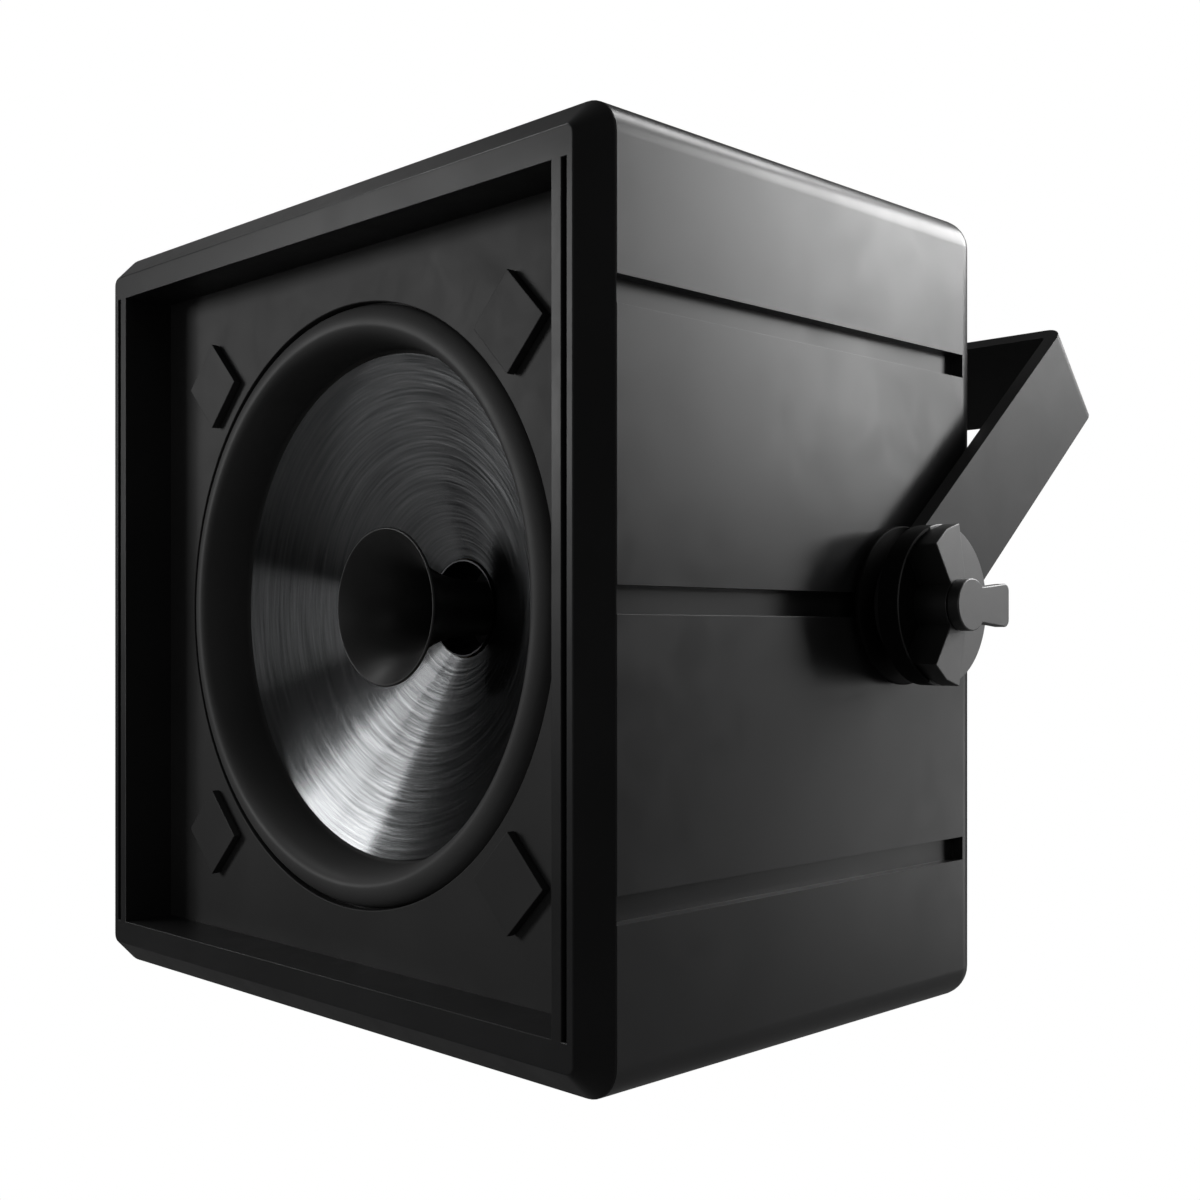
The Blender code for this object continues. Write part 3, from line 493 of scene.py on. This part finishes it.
FINISHES = {
    "shell_paint": moulded("shell_paint", (0.022, 0.022, 0.0225), 0.31, 2600.0, 0.000008),
    "board_paint": moulded("board_paint", (0.034, 0.034, 0.034), 0.52, 2200.0, 0.000018,
                           specular=0.2),
    "surround_rubber": moulded("surround_rubber", (0.070, 0.070, 0.070), 0.50, 3200.0, 0.000012,
                               specular=0.2),
    "cone_metal": cone_metal(),
    "horn_plastic": moulded("horn_plastic", (0.022, 0.022, 0.022), 0.42, 3000.0, 0.000010),
    "yoke_paint": moulded("yoke_paint", (0.020, 0.020, 0.0205), 0.46, 1800.0, 0.000016,
                          specular=0.4),
    # Darkened below the rubber's own black, so that the friction discs and the knobs' cups show painted shade
    # where the lamps still reach them.
    "disc_rubber": moulded("disc_rubber", (0.004, 0.004, 0.004), 0.65, 1500.0, 0.000030,
                           specular=0.1),
    "knob_plastic": moulded("knob_plastic", (0.010, 0.010, 0.010), 0.42, 2400.0, 0.000014,
                            specular=0.8, ior=1.8),
    "black_plastic": moulded("black_plastic", (0.020, 0.020, 0.021), 0.46, 1600.0, 0.000025),
    "plated_steel": metal("plated_steel", (0.58, 0.58, 0.57), 0.34),
    "spun_aluminium": metal("spun_aluminium", (0.05, 0.05, 0.052), 0.45, (40.0, 900.0, 40.0)),
    "cast_metal": speckled("cast_metal", (0.045, 0.045, 0.046), (0.075, 0.075, 0.077), 0.58,
                           700.0, 0.00012),
    "ferrite": speckled("ferrite", (0.030, 0.030, 0.032), (0.055, 0.055, 0.058), 0.62, 1200.0,
                        0.00006),
    "copper": windings(),
    "spider_cloth": spider_cloth(),
    "foam": fibre("foam", (0.025, 0.025, 0.026), (0.080, 0.080, 0.083), 420.0, 0.0012),
    "wood": wood(),
    "board_laminate": laminate(),
    "film_capacitor": speckled("film_capacitor", (0.50, 0.42, 0.10), (0.72, 0.64, 0.22), 0.38,
                               160.0, 0.00003),
    "ceramic_white": speckled("ceramic_white", (0.62, 0.60, 0.55), (0.78, 0.77, 0.72), 0.62,
                              900.0, 0.00005),
}
# The front frame is in the shell's slot and wears a duller paint.
FRAME_PAINT = moulded("frame_paint", (0.022, 0.022, 0.0225), 0.36, 2600.0, 0.000008,
                      specular=0.2)


def finish_piece(obj, body, slot, *nodes):
    """Give a piece its material, its body and the CAD nodes that it stands for."""
    obj.data.materials.clear()
    obj.data.materials.append(FINISHES[slot])
    if body:
        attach(obj, body)
    if nodes:
        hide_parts(*nodes)
    return obj


# ---- cabinet ----
def rounded_block(low_y, high_y, round_rear):
    bm = bmesh.new()
    bmesh.ops.create_cube(bm, size=1.0)
    size = (CABINET, high_y - low_y, CABINET, 1.0)
    place = Matrix.Translation((0, (low_y + high_y) / 2, AXIS_Z)) @ Matrix.Diagonal(size)
    bmesh.ops.transform(bm, matrix=place, verts=bm.verts)
    edges = []
    for edge in bm.edges:
        ends = [vert.co.y for vert in edge.verts]
        if abs(ends[0] - ends[1]) > TINY or (round_rear and min(ends) > high_y - TINY):
            edges.append(edge)
    bmesh.ops.bevel(bm, geom=edges, offset=EDGE_RADIUS, segments=10, profile=0.5, affect="EDGES")
    return bm


def cabinet_shell():
    joint = FRONT + BEZEL_DEPTH + TINY
    shell = add("cabinet_case", mesh_from(rounded_block(joint, REAR, True)))
    cut(shell, block((-INNER_HALF, FRONT, WALL), (INNER_HALF, REAR - REAR_WALL, CABINET - WALL)))
    for side in (-1, 1):
        for level in (-1, 0, 1):
            middle = AXIS_Z + level * CHANNEL_SPACING
            across = sorted((side * (HALF - CHANNEL_DEPTH), side * (HALF + OVERRUN)))
            low = (across[0], FRONT - OVERRUN, middle - CHANNEL_HEIGHT / 2)
            cut(shell, block(low, (across[1], FRONT + CHANNEL_END, middle + CHANNEL_HEIGHT / 2)))
        cut(shell, rod(INSERT_BORE, INNER_HALF - OVERRUN, HALF + OVERRUN), facing_side(side))
    low = (PLATE_LOW.x - TINY, PLATE_LOW.y - TINY, PLATE_LOW.z - TINY)
    cut(shell, block(low, (PLATE_HIGH.x + TINY, REAR + OVERRUN, PLATE_HIGH.z + TINY)))
    low = (PLATE_LOW.x + PLATE_LAP, REAR - 0.03, PLATE_LOW.z + PLATE_LAP)
    high = (PLATE_HIGH.x - PLATE_LAP, REAR + OVERRUN, PLATE_HIGH.z - PLATE_LAP)
    cut(shell, block(low, high))
    soften(shell, 0.0005, 2, 40, lambda spot: spot.y < joint + TINY)
    smooth(shell)
    return finish_piece(shell, "cabinet", "shell_paint", "cabinet_shell")


def front_bezel():
    bm = rounded_block(FRONT + BEVEL, FRONT + BEZEL_DEPTH, False)
    front = min(bm.faces, key=lambda face: face.calc_center_median().y)
    bmesh.ops.inset_region(bm, faces=[front], thickness=BEVEL, depth=BEVEL, use_even_offset=True)
    bezel = add("front_frame", mesh_from(bm))
    spigot = INNER_HALF - TINY
    low = (-spigot, FRONT + BEZEL_DEPTH / 2, AXIS_Z - spigot)
    high = (spigot, FRONT + BAFFLE_SETBACK - HAIR, AXIS_Z + spigot)
    cut(bezel, block(low, high), None, "UNION")
    low = (-OPENING_HALF, FRONT - OVERRUN, OPENING_MARGIN)
    cut(bezel, block(low, (OPENING_HALF, FRONT + 0.05, CABINET - OPENING_MARGIN)))
    for side in (-1, 1):
        middle = side * (OPENING_HALF + SLOT_INSET)
        low = (middle - SLOT_WIDTH / 2, FRONT - OVERRUN, OPENING_MARGIN)
        high = (middle + SLOT_WIDTH / 2, FRONT + SLOT_DEPTH, CABINET - OPENING_MARGIN)
        cut(bezel, block(low, high))
    soften(bezel, 0.0006, 3, 25, lambda spot: spot.y > FRONT + BEVEL + HAIR)
    smooth(bezel)
    finish_piece(bezel, "cabinet", "shell_paint", "front_bezel")
    bezel.data.materials[0] = FRAME_PAINT
    return bezel


def baffle():
    half = INNER_HALF - TINY
    low = (-half, FRONT + BAFFLE_SETBACK, AXIS_Z - half)
    high = (half, FRONT + BAFFLE_SETBACK + BAFFLE_THICK, AXIS_Z + half)
    board = add("baffle_board", block(low, high))
    cut(board, rod(HOLE_RADIUS, -0.06, 0.0, 192), facing_front())
    cut(board, rod(REBATE_RADIUS, -0.06, -(BAFFLE_SETBACK + REBATE_LIP), 128), facing_front())
    soften(board, 0.0006, 3, 40)
    smooth(board)
    return finish_piece(board, "cabinet", "board_paint", "baffle")


def corner_pads():
    """Raised square pads that stand on a corner, with crisp edges."""
    for name in ("top_right", "top_left", "bottom_left", "bottom_right"):
        node = f"corner_pad_{name}"
        low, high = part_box(node)
        half = (high.x - low.x) / 2 / math.sqrt(2)
        place = Matrix.Translation(((low.x + high.x) / 2, high.y, (low.z + high.z) / 2))
        turn = Matrix.Rotation(math.radians(90), 4, "X") @ Matrix.Rotation(math.radians(45), 4, "Z")
        slab = block((-half, -half, 0), (half, half, high.y - low.y))
        pad = add(f"pad_{name}", slab, place @ turn)
        soften(pad, 0.0005, 3, 40)
        smooth(pad)
        finish_piece(pad, "cabinet", "board_paint", node)


# ---- driver ----
def surround():
    """Half roll: a shallow outer slope to the crest and a deep inner wall to the cone."""
    outer = [(radius, 2 * OUTER_ROLL_DEPTH - depth) for radius, depth in
             arc((ROLL_CREST, OUTER_ROLL_DEPTH), (0.0098, 0.0085), 0, 90, 14)]
    inner = [(radius, 2 * INNER_ROLL_DEPTH - depth) for radius, depth in
             arc((ROLL_CREST, INNER_ROLL_DEPTH), (0.0088, 0.0255), 90, 180, 22)]
    flange = [(0.1572, 0.0346), (0.1530, 0.0346), (0.1486, 0.0344)]
    skirt = [(0.1284, 0.0520), (0.1270, 0.0533), (0.1245, 0.0545), (0.1215, 0.0558)]
    points = flange + outer + inner[1:] + skirt
    roll = add("surround_roll", lathe(behind(thickened(points, 0.001)), 160))
    roll.data.transform(facing_front())
    roll.data.shade_smooth()
    roll.data.set_sharp_from_angle(angle=math.radians(50))
    finish_piece(roll, None, "surround_rubber", "surround")
    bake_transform(roll)
    return roll


def cone():
    """Straight spun cone. It stays out of reflections, so that it doesn't mirror itself."""
    rows = 24
    points = []
    for row in range(rows + 1):
        share = row / rows
        points.append((CONE_RIM[0] + (CONE_NECK[0] - CONE_RIM[0]) * share,
                       CONE_RIM[1] + (CONE_NECK[1] - CONE_RIM[1]) * share))
    made = add("cone_shell", lathe(behind(thickened(points, 0.0008)), 192), facing_front())
    made.data.shade_smooth()
    made.data.set_sharp_from_angle(angle=math.radians(40))
    made.visible_glossy = False
    return finish_piece(made, "cone_assembly", "cone_metal", "cone")


def horn_bell():
    rows = 40
    points = []
    for row in range(rows + 1):
        share = (row / rows) ** 0.7
        radius = HORN_THROAT[0] + (HORN_MOUTH[0] - HORN_THROAT[0]) * share ** 3.5
        points.append((radius + 0.0008, HORN_THROAT[1] + (HORN_MOUTH[1] - HORN_THROAT[1]) * share))
    points.reverse()
    bell = add("horn_flare", lathe(behind(thickened(points, 0.0016)), 128), facing_front())
    soften(bell, 0.0005, 3, 50)
    smooth(bell, 50)
    return finish_piece(bell, "cabinet", "horn_plastic", "horn_bell")


# ---- rear connectors ----
def connectors():
    panel = add("connector_panel", block(PLATE_LOW, PLATE_HIGH))
    centre = Matrix.Translation((0, REAR, PLATE_Z)) @ Matrix.Rotation(math.radians(-90), 4, "X")
    for x in (-SOCKET_X, SOCKET_X):
        cut(panel, rod(SOCKET_RADIUS + TINY, -0.01, 0.01), Matrix.Translation((x, 0, 0)) @ centre)
    soften(panel, 0.0004, 2, 40)
    smooth(panel)
    finish_piece(panel, "cabinet", "black_plastic", "connector_plate")
    for number, x in ((1, -SOCKET_X), (2, SOCKET_X)):
        place = Matrix.Translation((x, 0, 0)) @ centre
        shank = [(0, -0.028), (SOCKET_RADIUS, -0.028), (SOCKET_RADIUS, 0.0)]
        flange = [(0.015, 0.0), (0.015, 0.002), (0.0104, 0.002), (0.0098, 0.0012)]
        well = [(0.009, 0.0012), (0.009, -0.018), (0.0036, -0.018), (0.0036, -0.001), (0, -0.001)]
        points = shank + flange + well
        turned = lathe(filleted(points, 0.0004, 3, False), 72, False)
        socket = add(f"socket_body_{number}", turned, place)
        for angle in (45, 225):
            spot = place @ Matrix.Rotation(math.radians(angle), 4, "Z")
            cut(socket, block((0.008, -0.0022, -0.016), (0.0107, 0.0022, 0.01)), spot)
        cut(socket, block((-0.0011, -0.0016, -0.006), (0.0011, 0.0016, 0.01)), place)
        smooth(socket)
        finish_piece(socket, "cabinet", "black_plastic", f"speaker_socket_{number}")
    for number in range(1, 5):
        low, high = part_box(f"plate_screw_{number}")
        place = Matrix.Translation(((low.x + high.x) / 2, REAR, (low.z + high.z) / 2))
        place = place @ Matrix.Rotation(math.radians(-90), 4, "X")
        shank = [(0, -0.0085), (0.0015, -0.0085), (0.0015, 0.0)]
        head = [(0.0032, 0.0), (0.0031, 0.0007), (0.0026, 0.0013), (0.0017, 0.0017), (0, 0.0018)]
        points = shank + head
        screw = add(f"panel_screw_{number}", lathe(points, 32, False), place)
        for angle in (20 * number, 20 * number + 90):
            cross = Matrix.Rotation(math.radians(angle), 4, "Z")
            cut(screw, block((-0.0017, -0.0004, 0.0004), (0.0017, 0.0004, 0.004)), place @ cross)
        smooth(screw)
        finish_piece(screw, "cabinet", "plated_steel", f"plate_screw_{number}")


# ---- yoke and pivots ----
def yoke_bracket():
    """Flat bar bent to a U, with round ends at the pivots."""
    outer_bend = 0.010
    inner_bend = outer_bend - BAR_THICK
    tail = -0.04
    inside = YOKE_REACH - BAR_THICK
    outer = arc((YOKE_HALF_SPAN - outer_bend, YOKE_REACH - outer_bend),
                (outer_bend, outer_bend), 0, 90, 12)
    inner = arc((ARM_INNER - inner_bend, inside - inner_bend), (inner_bend, inner_bend), 90, 0, 8)
    outline = [(ARM_INNER, tail), (YOKE_HALF_SPAN, tail)] + outer
    outline += [(-x, y) for x, y in reversed(outer)] + [(-YOKE_HALF_SPAN, tail), (-ARM_INNER, tail)]
    outline += [(-x, y) for x, y in reversed(inner)] + inner
    place = Matrix.Translation(PIVOT) @ Matrix.Rotation(YOKE_TILT, 4, "X")
    bar = add("yoke_bar", plate(outline, BAR_WIDTH), place)
    half = BAR_WIDTH / 2
    far = YOKE_REACH + 0.02
    side_view = arc((0, 0), (half, half), 90, 270, 40) + [(far, -half), (far, half)]
    turn = Matrix(((0, 0, 1, 0), (1, 0, 0, 0), (0, 1, 0, 0), (0, 0, 0, 1)))
    cut(bar, plate(side_view, YOKE_HALF_SPAN + 0.02), place @ turn, "INTERSECT")
    cut(bar, rod(STUD_BORE, -0.3, 0.3, 48), place @ Matrix.Rotation(math.radians(90), 4, "Y"))
    for x in YOKE_HOLES:
        spot = Matrix.Translation((x, 0, 0)) @ Matrix.Rotation(math.radians(90), 4, "X")
        cut(bar, rod(YOKE_HOLE_RADIUS, -YOKE_REACH - 0.02, -YOKE_REACH + 0.02, 48), place @ spot)
    soften(bar, 0.0006, 3, 40)
    smooth(bar)
    return finish_piece(bar, "yoke", "yoke_paint", "yoke_bracket")


def friction_disc(name, side):
    front = ARM_INNER - TINY
    back = HALF + TINY
    points = [(DISC_RADIUS, front), (DISC_RADIUS, front - DISC_RIM), (DISC_ROOT_RADIUS, back),
              (STUD_BORE, back), (STUD_BORE, front)]
    disc = add(f"disc_{name}", lathe(filleted(points, 0.0008, 5), 128), facing_side(side))
    smooth(disc, 60)
    return finish_piece(disc, "cabinet", "disc_rubber", f"friction_disc_{name}")


def knob_outline(*corners):
    """Corners given as (degrees from the tab's direction, radius), mirrored about it."""
    right = [(radius * math.sin(math.radians(turn)), radius * math.cos(math.radians(turn)))
             for turn, radius in corners]
    return right + [(-x, y) for x, y in reversed(right)]


def cap_outline():
    """Keyhole: a round hub with a slightly flared tab along local +Y."""
    neck_half = 0.0084
    end_half = 0.0103
    end = 0.0325
    corner = 0.0035
    half_angle = math.degrees(math.asin(neck_half / HUB_RADIUS))
    hub = arc((0, 0), (HUB_RADIUS, HUB_RADIUS), 90 + half_angle, 450 - half_angle, 64)
    right = arc((end_half - corner, end - corner), (corner, corner), 0, 90, 8)
    left = arc((corner - end_half, end - corner), (corner, corner), 90, 180, 8)
    return hub + right + left


def joined(name, meshes, place):
    """One mesh from several closed ones that overlap."""
    bm = bmesh.new()
    for mesh in meshes:
        bm.from_mesh(mesh)
    made = bpy.data.meshes.new(name)
    bm.to_mesh(made)
    bm.free()
    return add(name, made, place)


def softened(mesh, width, segments=3, degrees=40):
    guide = add("guide", mesh)
    soften(guide, width, segments, degrees)
    bpy.data.objects.remove(guide, do_unlink=True)
    return mesh


def knob_shade_cup(name, side):
    """Matt cup behind the knob's face, open in a sector away from the tab. It is a shaded copy of the knob's own
    plastic: it wears the near-black disc rubber, so that its wall and pocket show painted shade.
    """
    front = KNOB_FLANGE - TINY
    outside = KNOB_RADIUS - HAIR
    points = [(STUD_BORE, front), (outside, front), (outside, KNOB_BACK), (STUD_BORE, KNOB_BACK)]
    made = add(f"knob_shade_cup_{name}", lathe(filleted(points, 0.0005, 4), 128))
    floor = KNOB_BACK + 0.0024
    inside = KNOB_RADIUS - 0.0014
    half_deep = 0.01
    rim = [(turn, inside) for turn in range(180, POCKET_START - 1, -6)]
    outline = knob_outline(*rim[1:], (POCKET_START, 0.0125)) + [(0, -inside)]
    cut(made, plate(outline, half_deep), Matrix.Translation((0, 0, floor + half_deep)))
    made.matrix_world = facing_side(side)
    smooth(made)
    # Painted shade: the knob's cup takes the disc rubber instead of knob_plastic.
    return finish_piece(made, f"knob_{name}_set", "disc_rubber", f"knob_{name}")


def knob(name, side):
    """Knob's face: a thin plate with a hub and two wide lobes on it, and softened edges."""
    skin = 0.0015
    rim = [(turn, KNOB_RADIUS) for turn in range(0, POCKET_START + 1, 4)]
    outline = knob_outline(*rim[1:], (POCKET_START, 0.0118)) + [(0, KNOB_RADIUS)]
    face = softened(plate(outline, skin / 2), 0.0004)
    face.transform(Matrix.Translation((0, 0, KNOB_FLANGE - skin / 2)))
    meshes = [face]
    bottom = KNOB_BACK + 0.0015
    for way in (-1, 1):
        corners = ((62, 0.0110), (91, KNOB_RADIUS), (108, 0.0366), (126, 0.0343), (131, 0.0100))
        outline = knob_outline(*corners)[:len(corners)]
        lobe = softened(plate([(way * x, y) for x, y in outline], (KNOB_FACE - bottom) / 2), 0.0005)
        lobe.transform(Matrix.Translation((0, 0, (KNOB_FACE + bottom) / 2)))
        meshes.append(lobe)
    top = KNOB_FACE - HAIR
    points = [(0, top), (HUB_RADIUS, top), (HUB_RADIUS, bottom), (0, bottom)]
    meshes.append(lathe(filleted(points, 0.0003, 2, False), 64, False))
    made = joined(f"knob_body_{name}", meshes, facing_side(side))
    smooth(made)
    return finish_piece(made, f"knob_{name}_set", "knob_plastic", f"knob_{name}")


def knob_cap(name, side):
    low = KNOB_FACE + TINY
    place = facing_side(side) @ Matrix.Translation((0, 0, (low + CAP_FACE) / 2))
    made = add(f"knob_key_{name}", plate(cap_outline(), (CAP_FACE - low) / 2), place)
    soften(made, 0.0007, 3, 40)
    smooth(made)
    return finish_piece(made, f"knob_{name}_set", "knob_plastic", f"knob_cap_{name}")


cabinet_shell()
front_bezel()
baffle()
corner_pads()
surround()
cone()
horn_bell()
connectors()
yoke_bracket()
for side_name, side_sign in (("left", -1), ("right", 1)):
    friction_disc(side_name, side_sign)
    knob_shade_cup(side_name, side_sign)
    knob(side_name, side_sign)
    knob_cap(side_name, side_sign)

# ---- CAD nodes that stay ----
for row in frame["record"]["subparts"]:
    node = frame["nodes"][row["node"]]
    if not node.hide_render:
        node.data.materials.clear()
        node.data.materials.append(FINISHES[row["material_slot"]])


# ---- floor, light and camera ----
def studio_floor():
    made = bpy.data.materials.new("studio_white")
    made.use_nodes = True
    tree = made.node_tree
    shader = tree.nodes["Principled BSDF"]
    shader.inputs["Base Color"].default_value = (0.16, 0.16, 0.16, 1.0)
    shader.inputs["Roughness"].default_value = 0.9
    glow = tree.nodes.new("ShaderNodeEmission")
    glow.inputs["Color"].default_value = (1.0, 1.0, 1.0, 1.0)
    seen = tree.nodes.new("ShaderNodeLightPath")
    mix = tree.nodes.new("ShaderNodeMixShader")
    tree.links.new(seen.outputs["Is Camera Ray"], mix.inputs[0])
    tree.links.new(shader.outputs[0], mix.inputs[1])
    tree.links.new(glow.outputs[0], mix.inputs[2])
    tree.links.new(mix.outputs[0], tree.nodes["Material Output"].inputs["Surface"])
    bm = bmesh.new()
    bmesh.ops.create_grid(bm, x_segments=8, y_segments=8, size=6.0)
    floor = add("studio_floor", mesh_from(bm), Matrix.Translation((0, 0, -0.35)))
    floor.data.materials.append(made)


def studio_world():
    world = bpy.data.worlds.new("studio")
    bpy.context.scene.world = world
    world.use_nodes = True
    tree = world.node_tree
    tree.nodes.clear()
    output = tree.nodes.new("ShaderNodeOutputWorld")
    seen = tree.nodes.new("ShaderNodeLightPath")
    mix = tree.nodes.new("ShaderNodeMixShader")
    dim = tree.nodes.new("ShaderNodeBackground")
    dim.inputs["Color"].default_value = (0.045, 0.045, 0.045, 1.0)
    white = tree.nodes.new("ShaderNodeBackground")
    white.inputs["Color"].default_value = (1.0, 1.0, 1.0, 1.0)
    tree.links.new(seen.outputs["Is Camera Ray"], mix.inputs[0])
    tree.links.new(dim.outputs[0], mix.inputs[1])
    tree.links.new(white.outputs[0], mix.inputs[2])
    tree.links.new(mix.outputs[0], output.inputs["Surface"])


def softbox(name, azimuth, elevation, width, height, power):
    """A rectangular light that faces the cabinet's middle. Azimuth runs from +X towards +Y."""
    data = bpy.data.lights.new(name, "AREA")
    data.shape = "RECTANGLE"
    data.size = width
    data.size_y = height
    data.energy = power
    light = bpy.data.objects.new(name, data)
    bpy.context.scene.collection.objects.link(light)
    turn, rise = math.radians(azimuth), math.radians(elevation)
    towards = Vector((math.cos(turn) * math.cos(rise), math.sin(turn) * math.cos(rise),
                      math.sin(rise)))
    light.location = Vector((0, 0, AXIS_Z)) + towards * LIGHT_DISTANCE
    light.rotation_euler = towards.to_track_quat("Z", "Y").to_euler()
    light.visible_camera = False


studio_floor()
studio_world()
softbox("behind_right", 52, 12, 0.46, 0.46, 4.2)
softbox("behind_right_high", 68, 28, 1.1, 0.8, 28)
softbox("behind_right_near", 50, 24, 0.5, 0.46, 4.4)
softbox("behind_right_low", 61, -8, 0.95, 0.7, 2.6)
softbox("above_behind", 76, 50, 0.6, 0.6, 8)
softbox("left", -131, 14, 0.64, 0.46, 11)
softbox("left_low", -139, 5, 0.3, 0.25, 2.2)
softbox("left_front", -121, 28, 0.5, 0.46, 0.8)
softbox("left_high", -160, 50, 0.8, 0.6, 7)
softbox("front_fill", -78, 5, 1.0, 1.0, 1.6)
softbox("right_fill", -15, 30, 1.0, 1.0, 1.5)

# ---- camera: three-quarter view from the front right, level with the driver ----
camera_data = bpy.data.cameras.new("view")
camera_data.lens = 45.64
camera_data.sensor_width = 36.0
camera_data.shift_x = 0.0004
camera_data.shift_y = 0.0283
camera = bpy.data.objects.new("view", camera_data)
bpy.context.scene.collection.objects.link(camera)
camera.location = (0.62012, -0.55416, 0.1864)
camera.rotation_euler = (math.radians(90), 0, math.radians(45.2))
bpy.context.scene.camera = camera
bpy.context.scene.view_settings.view_transform = "Standard"
